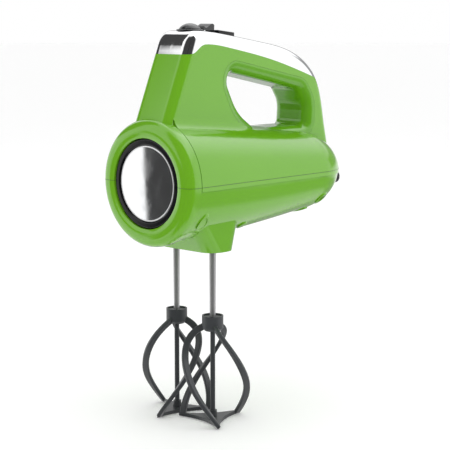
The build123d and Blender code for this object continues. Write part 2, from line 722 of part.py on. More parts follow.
def commutator():
    """Copper segments on the shaft, under the brushes."""
    x0, x1 = COMMUTATOR_X, COMMUTATOR_X + COMMUTATOR_LENGTH
    ring = rod(x0, x1, COMMUTATOR_RADIUS) - rod(x0 - 1, x1 + 1, SHAFT_RADIUS)
    for index in range(2 * ROTOR_SLOTS):
        cut = Rot(index * 180 / ROTOR_SLOTS, 0, 0) * plate(x0 - 1, x1 + 1, -0.2, 0.2, COMMUTATOR_RADIUS - 1.2, COMMUTATOR_RADIUS + 1)
        ring -= Pos(0, 0, BARREL_AXIS_Z) * cut
    return ring


FAN_X = 33.0
FAN_LENGTH = 6.5
FAN_RADIUS = 20.0
FAN_BLADES = 12


def cooling_fan():
    """Moulded radial fan between the gears and the stator."""
    fan = rod(FAN_X, FAN_X + 1.4, FAN_RADIUS) + rod(FAN_X, FAN_X + FAN_LENGTH, 5.0)
    for index in range(FAN_BLADES):
        blade = Rot(index * 360 / FAN_BLADES, 0, 0) * plate(FAN_X + 1, FAN_X + FAN_LENGTH, -0.6, 0.6, 4.5, FAN_RADIUS - 0.5)
        fan += Pos(0, 0, BARREL_AXIS_Z) * blade
    return fan - rod(FAN_X - 1, FAN_X + 9, SHAFT_RADIUS)


# ---------------------------------------------------------------- spindles
def worm_wheel(side):
    """Moulded worm wheel with teeth that follow the worm's thread."""
    y = side * BEATER_Y
    low, high = BARREL_AXIS_Z - WHEEL_THICKNESS / 2, BARREL_AXIS_Z + WHEEL_THICKNESS / 2
    root, tip = WHEEL_RADIUS - WORM_THROW, WHEEL_RADIUS + WORM_THROW
    pitch_angle = 2 * math.pi / WHEEL_TEETH
    with BuildSketch(Plane.XY.offset(low)) as outline:
        Circle(root)
        with PolarLocations(0, WHEEL_TEETH, start_angle=90):
            half_root, half_tip = root * pitch_angle * 0.27, tip * pitch_angle * 0.1
            Polygon(
                (root - 1, -half_root), (root, -half_root), (tip, -half_tip),
                (tip, half_tip), (root, half_root), (root - 1, half_root), align=None,
            )
    wheel = extrude(outline.sketch, amount=WHEEL_THICKNESS)
    wheel += post(0, 0, low - 3, high + 2, SPINDLE_RADIUS + 2.6)
    wheel -= post(0, 0, low - 9, high + 9, SPINDLE_RADIUS)
    turn = WHEEL_TURN[side]
    return Pos(0, y, 0) * Rot(0, 0, turn) * wheel


# turned so that a tooth stands in the worm's valley: the thread crest faces +Y at X = 0
WHEEL_TURN = {1: 180 / WHEEL_TEETH, -1: 0.0}


def spindle(side):
    """Hollow spindle that takes the beater shank from below."""
    y = side * BEATER_Y
    tube = post(0, y, SPINDLE_BOTTOM_Z, SPINDLE_TOP_Z, SPINDLE_RADIUS)
    tube -= post(0, y, 0, 90, SHANK_RADIUS + RUNNING_FIT)
    half = KEY_THICKNESS / 2 + 0.15
    slot_top = SPINDLE_BOTTOM_Z + KEY_HEIGHT + 2
    tube -= Pos(0, y, 0) * plate(-KEY_SPAN, KEY_SPAN, -half, half, SPINDLE_BOTTOM_Z - 1, slot_top)
    return tube


def spindle_clip(side):
    """Snap ring that keeps the spindle from lifting."""
    y = side * BEATER_Y
    low = PLATE_Z + PLATE_THICKNESS + MOVING_GAP
    ring = post(0, y, low, low + 1.2, SPINDLE_RADIUS + 1.6) - post(0, y, 20, 30, SPINDLE_RADIUS)
    return ring - Pos(0, y, 0) * plate(0, 10, -2, 2, 20, 30)


# ---------------------------------------------------------------- beaters
def beater_shaft(side):
    """Steel shank with its drive key, and the rod down the middle of the cage."""
    y = side * BEATER_Y
    shaft = post(0, y, 1.0, SHANK_TOP_Z, SHANK_RADIUS)
    shaft = chamfer([e for e in shaft.edges().filter_by(GeomType.CIRCLE) if e.center().Z > 50], 0.8)
    taper = Pos(0, y, (1 + HUB_TOP_Z) / 2) * Cone(SHANK_RADIUS - 0.35, SHANK_RADIUS, 1 - HUB_TOP_Z)
    shaft += taper
    shaft += post(0, y, HUB_BOTTOM_Z + CORE_SEAT, HUB_TOP_Z, CORE_RADIUS)
    key = SPINDLE_BOTTOM_Z + 1
    shaft += Pos(0, y, 0) * plate(-KEY_SPAN / 2, KEY_SPAN / 2, -KEY_THICKNESS / 2, KEY_THICKNESS / 2, key, key + KEY_HEIGHT)
    return shaft


CORE_RADIUS = 1.75
CORE_SEAT = 1.5                # the steel shaft ends this far above the hub's lower face
# how far down the cage, from hub (0) to foot (1), and the strand's distance from the axis there
# as a share of the cage radius
STRAND_PATH = (
    (0.0, 0.17), (0.05, 0.39), (0.11, 0.57), (0.19, 0.70), (0.31, 0.80),
    (0.46, 0.87), (0.66, 0.93), (0.84, 0.925), (1.0, 0.88),
)
STRAND_CORNER = 0.9
STRAND_STATIONS = 13
FOOT_HEIGHT = 2.4
FOOT_TIP = 1.0                # reach of the foot's points, as a share of the cage radius
FOOT_WAIST = 8.2               # distance of the foot's hollow sides from the axis


def strand(phase, hand):
    """One helical strand, drawn through rounded bars whose long side points away from the axis."""
    top, bottom = HUB_BOTTOM_Z + 4.0, CAGE_BOTTOM_Z + FOOT_HEIGHT / 2
    points = []
    for share, reach in STRAND_PATH:
        angle = math.radians(phase + hand * STRAND_TWIST * share)
        radius = reach * CAGE_RADIUS
        points.append((math.cos(angle) * radius, math.sin(angle) * radius, top + (bottom - top) * share))
    path = Edge.make_spline([Vector(*point) for point in points])
    sections = []
    for index in range(STRAND_STATIONS):
        where = path @ (index / (STRAND_STATIONS - 1))
        ahead = path % (index / (STRAND_STATIONS - 1))
        outward = Vector(where.X, where.Y, 0).normalized()
        across = ahead.cross(outward).normalized()
        section = Plane(origin=where, x_dir=across, z_dir=ahead)
        sections.append(section * RectangleRounded(STRAND_THICKNESS, STRAND_WIDTH, STRAND_CORNER))
    return loft(sections)


def foot_star(start):
    """Flat three-pointed foot whose hollow sides run from point to point."""
    tip = FOOT_TIP * CAGE_RADIUS
    with BuildSketch(Plane.XY.offset(CAGE_BOTTOM_Z)) as star:
        with BuildLine():
            for index in range(3):
                ends = []
                for radius, turn in ((tip, 0), (FOOT_WAIST, 60), (tip, 120)):
                    angle = math.radians(start + index * 120 + turn)
                    ends.append((math.cos(angle) * radius, math.sin(angle) * radius))
                ThreePointArc(*ends)
        make_face()
    return extrude(star.sketch, FOOT_HEIGHT)


def beater_cage(side):
    """Moulded whisk: hub, three strands and the blades that join them at the foot."""
    y = side * BEATER_Y
    hand = -side
    phase = LEFT_PHASE if side < 0 else RIGHT_PHASE
    hub = post(0, 0, HUB_BOTTOM_Z, HUB_TOP_Z, HUB_RADIUS)
    hub = chamfer([e for e in hub.edges().filter_by(GeomType.CIRCLE) if e.center().Z < -50], 2.0)
    hub -= post(0, 0, HUB_TOP_Z - 1.0, HUB_TOP_Z + 1, HUB_RADIUS - 1.1)
    cage = hub + post(0, 0, CAGE_BOTTOM_Z, HUB_BOTTOM_Z + 1.0, CORE_RADIUS)
    cage += post(0, 0, CAGE_BOTTOM_Z, CAGE_BOTTOM_Z + 7.0, CORE_RADIUS + 1.2)
    for index in range(3):
        cage += strand(phase + index * 120, hand)
    cage += foot_star(phase + hand * STRAND_TWIST)
    cage -= post(0, 0, HUB_BOTTOM_Z + CORE_SEAT, 0, CORE_RADIUS)
    cage -= post(0, 0, HUB_TOP_Z - 1, 0, SHANK_RADIUS)
    return Pos(0, y, 0) * cage


# ---------------------------------------------------------------- controls
GUIDE_Z = 100.0
GUIDE_THICKNESS = 4.0
COLLAR_Z = 126.0
CROSSHEAD_Z = 72.0
PIN_RADIUS = 2.2
BOARD_Z = 132.0


def speed_lever():
    """Ring round the eject button with the thumb tab that picks the speed."""
    ring = post(CONTROL_X, 0, 146, RING_TOP_Z, RING_RADIUS)
    ring = fillet([e for e in ring.edges().filter_by(GeomType.CIRCLE) if e.center().Z > 150], 0.8)
    with BuildSketch(Plane.XZ) as tab:
        with BuildLine():
            Polyline((4.0, 153.1), (15.0, 153.1), (15.2, 156.6))
            Spline((15.2, 156.6), (12.6, 157.6), (9.0, 155.6), (5.0, 155.9))
            Line((5.0, 155.9), (4.0, 153.1))
        make_face()
    thumb = side_slab(tab.sketch, 5.5)
    lever = ring + thumb
    return lever - post(CONTROL_X, 0, 140, 165, DOME_RADIUS + MOVING_GAP)


def selector_drum():
    """Drum under the lever, with a cam that works the speed contacts."""
    drum = post(CONTROL_X, 0, 141, 146, RING_RADIUS + 1.5)
    drum += plate(CONTROL_X, CONTROL_X + 14.5, -2, 2, 141, 143.5)
    return drum - post(CONTROL_X, 0, 130, 165, DOME_RADIUS + MOVING_GAP)


def eject_button():
    """Domed button in the middle of the lever."""
    body = post(CONTROL_X, 0, 147, RING_TOP_Z + 0.5, DOME_RADIUS)
    rise = DOME_TOP_Z - RING_TOP_Z - 0.5
    ball = (DOME_RADIUS ** 2 + rise ** 2) / (2 * rise)
    dome = Pos(CONTROL_X, 0, DOME_TOP_Z - ball) * Sphere(ball)
    dome &= post(CONTROL_X, 0, RING_TOP_Z + 0.5, DOME_TOP_Z + 1, DOME_RADIUS)
    return body + dome - post(CONTROL_X, 0, 140, 152, STEM_RADIUS)


def eject_rod():
    """Push rod with a crosshead and a pin over each beater shank."""
    stem = post(CONTROL_X, 0, CROSSHEAD_Z + 1, 152, STEM_RADIUS)
    stem += post(CONTROL_X, 0, COLLAR_Z, COLLAR_Z + 2, STEM_RADIUS + 2.6)
    head = plate(CONTROL_X - 4, 4, -BEATER_Y - 4, BEATER_Y + 4, CROSSHEAD_Z, CROSSHEAD_Z + 4)
    head = fillet(head.edges().filter_by(Axis.Z), 2.5)
    stem += head
    for side in SIDES.values():
        stem += post(0, side * BEATER_Y, SHANK_TOP_Z + EJECT_STROKE + MOVING_GAP, CROSSHEAD_Z + 1, PIN_RADIUS)
    return stem


def eject_guide():
    """Bridge across the front pillar that guides the push rod and carries its spring."""
    half = HANDLE_HALF_WIDTH - WALL
    bridge = plate(CONTROL_X - 14, CONTROL_X + 14, -half, half, GUIDE_Z, GUIDE_Z + GUIDE_THICKNESS)
    bridge -= post(CONTROL_X, 0, 90, 120, STEM_RADIUS + RUNNING_FIT)
    return bridge


def eject_spring():
    """Return spring round the push rod."""
    low = GUIDE_Z + GUIDE_THICKNESS
    return Pos(CONTROL_X, 0, low) * coil_spring(4.4, 0.5, COLLAR_Z - low, 8)


def boost_button():
    """Black button behind the lever, held down for a burst of full speed."""
    front, back = BOOST_START_X - 2, BOOST_START_X + BOOST_LENGTH + 2
    with BuildSketch(Plane.XZ) as side_view:
        Polygon((front, BOOST_FOOT_Z), (back, BOOST_FOOT_Z), (back, BOOST_BACK_Z), (front, BOOST_FRONT_Z), align=None)
    return boost_block(0) & side_slab(side_view.sketch, 20)


def boost_switch():
    """Snap switch under the boost button, on the floor of the handle."""
    middle = BOOST_START_X + BOOST_LENGTH / 2
    body = plate(middle - 7, middle + 7, -5, 5, BOOST_FLOOR_Z, 139.0)
    return body + post(middle - 4, 0, 139.0, 141.0, 1.2)


BOOST_FLOOR_Z = 134.5


def boost_spring():
    """Return spring of the boost button."""
    middle = BOOST_START_X + BOOST_LENGTH / 2
    return Pos(middle + 3.0, 0, 139.0) * coil_spring(2.0, 0.25, 4.5, 4)


def speed_board():
    """Circuit board across the top of the front pillar."""
    half = HANDLE_HALF_WIDTH - WALL
    board = plate(-20.0, 8.5, -half, half, BOARD_Z, BOARD_Z + 1.6)
    return board - post(CONTROL_X, 0, 120, 140, STEM_RADIUS + 3.2)


def speed_contacts():
    """Row of spring contacts on the board, one for each speed."""
    contacts = None
    for index in range(5):
        angle = math.radians(index * 12.5)
        x, y = CONTROL_X + 11.0 * math.cos(angle), 11.0 * math.sin(angle)
        block = post(x, y, BOARD_Z + 1.6, 140.5, 0.8)
        contacts = block if contacts is None else contacts + block
    return contacts


def terminal_block():
    """Clamp for the mains leads, behind the motor."""
    back = REAR_BRACKET_X + 3
    block = plate(back, back + 10, -12, 12, 62.0, 70.0)
    for index in (-1, 1):
        block -= post(back + 5, index * 5.5, 65, 75, 1.6)
    return block


# ---------------------------------------------------------------- all pieces
def build_all():
    forms()
    keep("upper_housing", upper_housing())
    keep("lower_housing", lower_housing())
    keep("handle_trim", handle_trim())
    keep("grip_liner", grip_liner())
    keep("nose_ring", nose_ring())
    keep("nose_badge", nose_badge())
    keep("housing_screws", housing_screws())
    keep("cord_gland", cord_gland())
    keep("heel_pads", heel_pads())
    keep("gear_frame", gear_frame())
    keep("gear_cover", gear_cover())
    keep("spindle_bushes", spindle_bushes())
    keep("front_bearing", motor_bearing(FRAME_REAR_X - 3))
    keep("rear_bearing", motor_bearing(REAR_BRACKET_X - 1.5))
    keep("rear_bracket", rear_bracket())
    keep("motor_bolts", motor_bolts())
    keep("stator_core", stator_core())
    keep("field_coils", field_coils())
    keep("brush_holders", brush_holders())
    keep("carbon_brushes", carbon_brushes())
    keep("brush_springs", brush_springs())
    keep("motor_shaft", motor_shaft())
    keep("rotor_core", rotor_core())
    keep("rotor_windings", rotor_windings())
    keep("commutator", commutator())
    keep("cooling_fan", cooling_fan())
    for name, side in SIDES.items():
        keep("worm_wheel_" + name, worm_wheel(side))
        keep("spindle_" + name, spindle(side))
        keep("spindle_clip_" + name, spindle_clip(side))
        keep("beater_shaft_" + name, beater_shaft(side))
        keep("beater_cage_" + name, beater_cage(side))
    keep("speed_lever", speed_lever())
    keep("selector_drum", selector_drum())
    keep("eject_button", eject_button())
    keep("eject_rod", eject_rod())
    keep("eject_guide", eject_guide())
    keep("eject_spring", eject_spring())
    keep("boost_button", boost_button())
    keep("boost_switch", boost_switch())
    keep("boost_spring", boost_spring())
    keep("speed_board", speed_board())
    keep("speed_contacts", speed_contacts())
    keep("terminal_block", terminal_block())


def write_all():
    os.makedirs("parts", exist_ok=True)
    for name, shape in pieces.items():
        export_step(shape, "parts/" + name + ".step")


if __name__ == "__main__":
    build_all()
    write_all()
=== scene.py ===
"""Hand mixer: finishes, added mouldings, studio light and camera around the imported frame."""

from __future__ import annotations

import logging
import math
from collections.abc import Callable
from dataclasses import dataclass
from enum import Enum

import bpy
import numpy
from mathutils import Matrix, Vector

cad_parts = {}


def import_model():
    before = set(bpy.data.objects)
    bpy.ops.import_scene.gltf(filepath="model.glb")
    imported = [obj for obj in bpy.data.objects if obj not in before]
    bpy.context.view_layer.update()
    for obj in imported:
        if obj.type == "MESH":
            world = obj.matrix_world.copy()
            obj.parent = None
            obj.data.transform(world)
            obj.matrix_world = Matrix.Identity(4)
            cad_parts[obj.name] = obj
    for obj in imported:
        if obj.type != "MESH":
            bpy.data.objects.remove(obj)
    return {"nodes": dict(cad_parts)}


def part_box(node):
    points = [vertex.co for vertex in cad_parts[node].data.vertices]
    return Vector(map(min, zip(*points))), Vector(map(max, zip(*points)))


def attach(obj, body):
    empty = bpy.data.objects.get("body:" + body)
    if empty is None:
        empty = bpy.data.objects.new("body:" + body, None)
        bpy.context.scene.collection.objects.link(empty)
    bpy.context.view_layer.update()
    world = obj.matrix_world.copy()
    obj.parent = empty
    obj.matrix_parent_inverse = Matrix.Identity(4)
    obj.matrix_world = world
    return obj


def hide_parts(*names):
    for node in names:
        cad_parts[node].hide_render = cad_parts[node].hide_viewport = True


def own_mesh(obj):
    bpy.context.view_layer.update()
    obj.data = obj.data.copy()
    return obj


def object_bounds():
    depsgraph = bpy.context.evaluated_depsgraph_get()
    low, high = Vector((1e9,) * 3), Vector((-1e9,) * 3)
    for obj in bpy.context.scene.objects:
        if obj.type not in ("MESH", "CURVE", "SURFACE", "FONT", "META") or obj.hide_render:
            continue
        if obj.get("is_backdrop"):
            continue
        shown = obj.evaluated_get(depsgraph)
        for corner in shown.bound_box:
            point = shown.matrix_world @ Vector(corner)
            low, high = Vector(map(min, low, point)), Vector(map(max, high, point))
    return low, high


LOG = logging.getLogger("hand_mixer")

Colour = tuple[float, float, float]
Point = tuple[float, float, float]

# Places of the Mix node's sockets, which have the same labels for colours and for numbers
MIX_SHARE = 0
COLOUR_A, COLOUR_B, COLOUR_OUT = 6, 7, 2
NUMBER_A, NUMBER_B, NUMBER_OUT = 2, 3, 0

FLOOR_GAP = 0.0004          # air under the whisks
WELL_X, WELL_Y = -0.085, 0.0345   # a front screw well, from the frame's origin


class Pattern(Enum):
    """How a finish varies over its surface, beyond its grain."""

    PLAIN = "plain"
    LAYERED = "layered"
    WOUND = "wound"
    TRACKED = "tracked"


class NodeSheet:
    """One node tree, with short ways to add nodes and to join them."""

    def __init__(self, tree: bpy.types.NodeTree) -> None:
        """Keep the tree that the nodes go into.

        Args:
            tree: A material's or a group's node tree.
        """
        self.tree = tree
        self.step = 0

    def add(self, kind: str, **values: object) -> bpy.types.Node:
        """Add one node.

        Args:
            kind: The node's type name, without its ShaderNode prefix.
            **values: Settings, and input values under the input's name with _ for a space.

        Returns:
            The new node.
        """
        node = self.tree.nodes.new("ShaderNode" + kind)
        node.location = (self.step * 190.0, 0.0)
        self.step += 1
        for name, value in values.items():
            label = name.replace("_", " ")
            if label in node.inputs:
                node.inputs[label].default_value = value
            else:
                setattr(node, name, value)
        return node

    def join(self, source: bpy.types.NodeSocket, target: bpy.types.NodeSocket) -> None:
        """Join an output to an input."""
        self.tree.links.new(source, target)


class Effects:
    """The surface effects that several finishes share, each one a node group built once."""

    def __init__(self) -> None:
        """Build every group."""
        self.drift = self._drift()
        self.marks = self._marks()
        self.grain = self._grain()
        self.lines = self._lines()

    @staticmethod
    def _group(
        name: str, inputs: dict[str, float], output: str
    ) -> tuple[NodeSheet, bpy.types.Node, bpy.types.Node]:
        """Start a group with a vector input, number inputs and one number output.

        Args:
            name: The group's name.
            inputs: The number inputs and their first values.
            output: The output's name.

        Returns:
            The sheet, the group's input node and its output node.
        """
        tree = bpy.data.node_groups.new(name, "ShaderNodeTree")
        tree.interface.new_socket(name="Vector", in_out="INPUT", socket_type="NodeSocketVector")
        for label, value in inputs.items():
            socket = tree.interface.new_socket(name=label, in_out="INPUT", socket_type="NodeSocketFloat")
            socket.default_value = value
        tree.interface.new_socket(name=output, in_out="OUTPUT", socket_type="NodeSocketFloat")
        sheet = NodeSheet(tree)
        start = tree.nodes.new("NodeGroupInput")
        end = tree.nodes.new("NodeGroupOutput")
        return sheet, start, end

    def _drift(self) -> bpy.types.NodeTree:
        """Build the slow drift of tone in a moulding, from 0 to 1."""
        sheet, start, end = self._group("Tone Drift", {"Scale": 20.0, "Share": 1.0}, "Mask")
        noise = sheet.add("TexNoise", Detail=2.0, Roughness=0.45)
        sheet.join(start.outputs["Vector"], noise.inputs["Vector"])
        sheet.join(start.outputs["Scale"], noise.inputs["Scale"])
        spread = sheet.add("MapRange", From_Min=0.3, From_Max=0.7)
        sheet.join(noise.outputs["Fac"], spread.inputs["Value"])
        share = sheet.add("Math", operation="MULTIPLY", use_clamp=True)
        sheet.join(spread.outputs["Result"], share.inputs[0])
        sheet.join(start.outputs["Share"], share.inputs[1])
        sheet.join(share.outputs["Value"], end.inputs["Mask"])
        return sheet.tree

    def _marks(self) -> bpy.types.NodeTree:
        """Build the faint smears that hands and cloths leave, as a roughness."""
        sheet, start, end = self._group(
            "Handling Marks", {"Scale": 40.0, "Low": 0.1, "High": 0.2}, "Roughness"
        )
        smear = sheet.add("TexNoise", Detail=4.0, Roughness=0.6, Distortion=1.2)
        sheet.join(start.outputs["Vector"], smear.inputs["Vector"])
        sheet.join(start.outputs["Scale"], smear.inputs["Scale"])
        spread = sheet.add("MapRange", From_Min=0.42, From_Max=0.75)
        sheet.join(smear.outputs["Fac"], spread.inputs["Value"])
        sheet.join(start.outputs["Low"], spread.inputs["To Min"])
        sheet.join(start.outputs["High"], spread.inputs["To Max"])
        sheet.join(spread.outputs["Result"], end.inputs["Roughness"])
        return sheet.tree

    def _grain(self) -> bpy.types.NodeTree:
        """Build the fine height of a moulded, cast or sanded skin."""
        sheet, start, end = self._group("Skin Grain", {"Scale": 900.0, "Pits": 0.3}, "Height")
        fine = sheet.add("TexNoise", Detail=3.0, Roughness=0.55)
        cells = sheet.add("TexVoronoi")
        for texture in (fine, cells):
            sheet.join(start.outputs["Vector"], texture.inputs["Vector"])
            sheet.join(start.outputs["Scale"], texture.inputs["Scale"])
        pits = sheet.add("Math", operation="MULTIPLY")
        sheet.join(cells.outputs["Distance"], pits.inputs[0])
        sheet.join(start.outputs["Pits"], pits.inputs[1])
        height = sheet.add("Math", operation="ADD")
        sheet.join(fine.outputs["Fac"], height.inputs[0])
        sheet.join(pits.outputs["Value"], height.inputs[1])
        sheet.join(height.outputs["Value"], end.inputs["Height"])
        return sheet.tree

    def _lines(self) -> bpy.types.NodeTree:
        """Build even ridges across the first axis, from 0 in the groove to 1 on the crest."""
        sheet, start, end = self._group("Even Ridges", {"Scale": 300.0, "Wander": 0.0}, "Ridge")
        wave = sheet.add("TexWave", wave_type="BANDS", bands_direction="X", wave_profile="SIN", Detail=1.0)
        sheet.join(start.outputs["Vector"], wave.inputs["Vector"])
        sheet.join(start.outputs["Scale"], wave.inputs["Scale"])
        sheet.join(start.outputs["Wander"], wave.inputs["Distortion"])
        sheet.join(wave.outputs["Fac"], end.inputs["Ridge"])
        return sheet.tree


@dataclass(frozen=True)
class Finish:
    """One finish: its two tones, gloss, grain and pattern. Lengths are in metres."""

    title: str
    slot: str
    tone: Colour
    other_tone: Colour
    low_rough: float
    high_rough: float
    metal: float = 0.0
    coat: float = 0.0
    coat_rough: float = 0.05
    specular: float = 0.5
    drift_scale: float = 18.0
    drift_share: float = 1.0
    mark_scale: float = 45.0
    grain_scale: float = 900.0
    grain_pits: float = 0.2
    grain_depth: float = 0.00002
    stretch: Point = (1.0, 1.0, 1.0)
    turn: Point = (0.0, 0.0, 0.0)
    pattern: Pattern = Pattern.PLAIN
    pattern_scale: float = 300.0

    def material(self, effects: Effects) -> bpy.types.Material:
        """Make the finish's material.

        Args:
            effects: The shared node groups.

        Returns:
            A material whose colour, roughness and normal come from its nodes.
        """
        made = bpy.data.materials.new(self.title)
        made.use_nodes = True
        made.node_tree.nodes.clear()
        sheet = NodeSheet(made.node_tree)
        place = sheet.add("TexCoord")
        mapping = sheet.add("Mapping", Rotation=self.turn, Scale=self.stretch)
        sheet.join(place.outputs["Object"], mapping.inputs["Vector"])
        shader = sheet.add("BsdfPrincipled", Metallic=self.metal, Coat_Weight=self.coat)
        shader.inputs["Coat Roughness"].default_value = self.coat_rough
        shader.inputs["Specular IOR Level"].default_value = self.specular

        drift = self._effect(sheet, effects.drift, place, Scale=self.drift_scale, Share=self.drift_share)
        tones = sheet.add("Mix", data_type="RGBA")
        tones.inputs[COLOUR_A].default_value = (*self.tone, 1.0)
        tones.inputs[COLOUR_B].default_value = (*self.other_tone, 1.0)
        sheet.join(drift.outputs["Mask"], tones.inputs[MIX_SHARE])
        colour = tones.outputs[COLOUR_OUT]

        marks = self._effect(
            sheet, effects.marks, place, Scale=self.mark_scale, Low=self.low_rough, High=self.high_rough
        )
        grain = self._effect(sheet, effects.grain, mapping, Scale=self.grain_scale, Pits=self.grain_pits)
        bump = sheet.add("Bump", Strength=1.0, Distance=self.grain_depth)
        sheet.join(grain.outputs["Height"], bump.inputs["Height"])
        normal = bump.outputs["Normal"]

        if self.pattern in (Pattern.LAYERED, Pattern.WOUND):
            ridge = self._effect(
                sheet,
                effects.lines,
                mapping,
                Scale=self.pattern_scale,
                Wander=0.4 if self.pattern is Pattern.WOUND else 0.0,
            )
            shade = sheet.add("MapRange", To_Min=0.35, To_Max=1.0)
            sheet.join(ridge.outputs["Ridge"], shade.inputs["Value"])
            darker = sheet.add("Mix", data_type="RGBA", blend_type="MULTIPLY")
            darker.inputs[MIX_SHARE].default_value = 1.0
            sheet.join(colour, darker.inputs[COLOUR_A])
            sheet.join(shade.outputs["Result"], darker.inputs[COLOUR_B])
            colour = darker.outputs[COLOUR_OUT]
            ridges = sheet.add("Bump", Strength=0.8, Distance=0.0002)
            sheet.join(ridge.outputs["Ridge"], ridges.inputs["Height"])
            sheet.join(normal, ridges.inputs["Normal"])
            normal = ridges.outputs["Normal"]
        elif self.pattern is Pattern.TRACKED:
            tracks = sheet.add("TexBrick", Scale=self.pattern_scale)
            tracks.inputs["Mortar Size"].default_value = 0.05
            tracks.inputs["Color1"].default_value = (*self.tone, 1.0)
            tracks.inputs["Color2"].default_value = (*self.other_tone, 1.0)
            tracks.inputs["Mortar"].default_value = (0.25, 0.2, 0.06, 1.0)
            sheet.join(mapping.outputs["Vector"], tracks.inputs["Vector"])
            colour = tracks.outputs["Color"]

        sheet.join(colour, shader.inputs["Base Color"])
        sheet.join(marks.outputs["Roughness"], shader.inputs["Roughness"])
        sheet.join(normal, shader.inputs["Normal"])
        end = sheet.add("OutputMaterial")
        sheet.join(shader.outputs["BSDF"], end.inputs["Surface"])
        return made

    @staticmethod
    def _effect(
        sheet: NodeSheet, tree: bpy.types.NodeTree, place: bpy.types.Node, **values: float
    ) -> bpy.types.Node:
        """Place a shared effect in a material.

        Args:
            sheet: The material's sheet.
            tree: The shared group.
            place: The node whose output places the effect.
            **values: The effect's number inputs.

        Returns:
            The group's node in this material.
        """
        node = sheet.add("Group", node_tree=tree)
        source = place.outputs["Object"] if "Object" in place.outputs else place.outputs["Vector"]
        sheet.join(source, node.inputs["Vector"])
        for label, value in values.items():
            node.inputs[label].default_value = value
        return node


FINISHES: tuple[Finish, ...] = (
    Finish("Lime Gloss Moulding", "green_shell", (0.14, 0.395, 0.0115), (0.15, 0.412, 0.014), 0.12, 0.18,
           coat=0.45, coat_rough=0.06, grain_scale=420.0, grain_depth=0.000003),
    # The grip lining is the shell's green painted about a sixth darker, as painted shade.
    Finish("Shaded Lime Grip Lining", "green_grip", (0.118, 0.36, 0.009), (0.128, 0.38, 0.011), 0.14, 0.22,
           coat=0.5, coat_rough=0.05, grain_scale=500.0, grain_depth=0.000006),
    Finish("Bright Plated Trim", "bright_trim", (0.9, 0.905, 0.915), (0.86, 0.87, 0.88), 0.035, 0.08,
           metal=1.0, grain_scale=300.0, grain_depth=0.000001),
    # Light satin rim: its steady brightness is a painted highlight of the disc's bevel.
    Finish("Satin Rim Painted Highlight", "bright_rim", (0.88, 0.885, 0.89), (0.84, 0.845, 0.85), 0.3, 0.38,
           metal=0.4, grain_scale=600.0, grain_depth=0.000002),
    Finish("Gloss Black Ring", "gloss_black", (0.003, 0.003, 0.004), (0.005, 0.005, 0.006), 0.07, 0.13,
           specular=0.35, grain_scale=500.0, grain_depth=0.000004),
    Finish("Charcoal Controls", "dark_grey", (0.013, 0.014, 0.016), (0.02, 0.021, 0.024), 0.2, 0.32,
           coat=0.3, coat_rough=0.12, grain_scale=1200.0, grain_pits=0.5, grain_depth=0.00001),
    Finish("Charcoal Nylon", "beater_nylon", (0.04, 0.044, 0.047), (0.048, 0.052, 0.056), 0.34, 0.45,
           grain_scale=1500.0, grain_pits=0.5, grain_depth=0.00002),
    Finish("Drawn Steel", "steel", (0.56, 0.56, 0.565), (0.5, 0.5, 0.505), 0.42, 0.5,
           metal=0.75, stretch=(1.0, 1.0, 0.02), grain_scale=1500.0, grain_depth=0.000002),
    Finish("Soft Black Rubber", "soft_black", (0.012, 0.012, 0.013), (0.02, 0.02, 0.021), 0.5, 0.65,
           grain_scale=1600.0, grain_pits=0.6, grain_depth=0.00006),
    Finish("Cast Alloy", "cast_metal", (0.5, 0.51, 0.52), (0.4, 0.41, 0.42), 0.35, 0.5,
           metal=1.0, grain_scale=1100.0, grain_pits=0.7, grain_depth=0.00009),
    Finish("Sintered Bronze", "bronze", (0.42, 0.25, 0.1), (0.35, 0.2, 0.08), 0.34, 0.48,
           metal=1.0, grain_scale=2200.0, grain_pits=0.8, grain_depth=0.00004),
    Finish("Stacked Steel Sheets", "lamination", (0.3, 0.3, 0.31), (0.24, 0.24, 0.25), 0.38, 0.5,
           metal=1.0, pattern=Pattern.LAYERED, pattern_scale=390.0),
    Finish("Enamelled Wire", "copper_wire", (0.5, 0.19, 0.06), (0.42, 0.15, 0.045), 0.22, 0.34,
           metal=0.8, coat=0.5, pattern=Pattern.WOUND, pattern_scale=330.0, turn=(0.0, 0.0, 0.7)),
    Finish("Pressed Carbon", "carbon", (0.02, 0.02, 0.021), (0.03, 0.03, 0.031), 0.5, 0.62,
           grain_scale=2600.0, grain_pits=0.7, grain_depth=0.00005),
    Finish("Inner Moulding", "inner_plastic", (0.055, 0.056, 0.058), (0.07, 0.071, 0.073), 0.4, 0.55,
           grain_scale=1300.0, grain_pits=0.5, grain_depth=0.00005),
    Finish("Natural Gear Nylon", "gear_plastic", (0.68, 0.64, 0.52), (0.6, 0.56, 0.44), 0.3, 0.42,
           grain_scale=900.0, grain_pits=0.3, grain_depth=0.00003),
    Finish("Tracked Board", "board", (0.02, 0.11, 0.04), (0.024, 0.13, 0.05), 0.34, 0.44,
           pattern=Pattern.TRACKED, pattern_scale=120.0, grain_scale=1500.0),
)


class Wardrobe:
    """Holds one material for each finish and puts them on the construction's nodes."""

    def __init__(self, finishes: tuple[Finish, ...]) -> None:
        """Make the shared effects and every material.

        Args:
            finishes: The finishes, one for each material slot.
        """
        effects = Effects()
        self.by_slot = {finish.slot: finish.material(effects) for finish in finishes}

    def wear(self, piece: bpy.types.Object, slot: str) -> None:
        """Put the slot's material over a whole piece."""
        piece.data.materials.clear()
        piece.data.materials.append(self.by_slot[slot])

    def dress_frame(self, nodes: dict[str, bpy.types.Object]) -> None:
        """Put the finish of its own slot on every construction node.

        Args:
            nodes: The construction nodes by name.
        """
        for name, node in sorted(nodes.items()):
            for place, worn in enumerate(node.data.materials):
                slot = worn.name.split(".")[0]
                node.data.materials[place] = self.by_slot[slot]
            LOG.info("dressed %s", name)


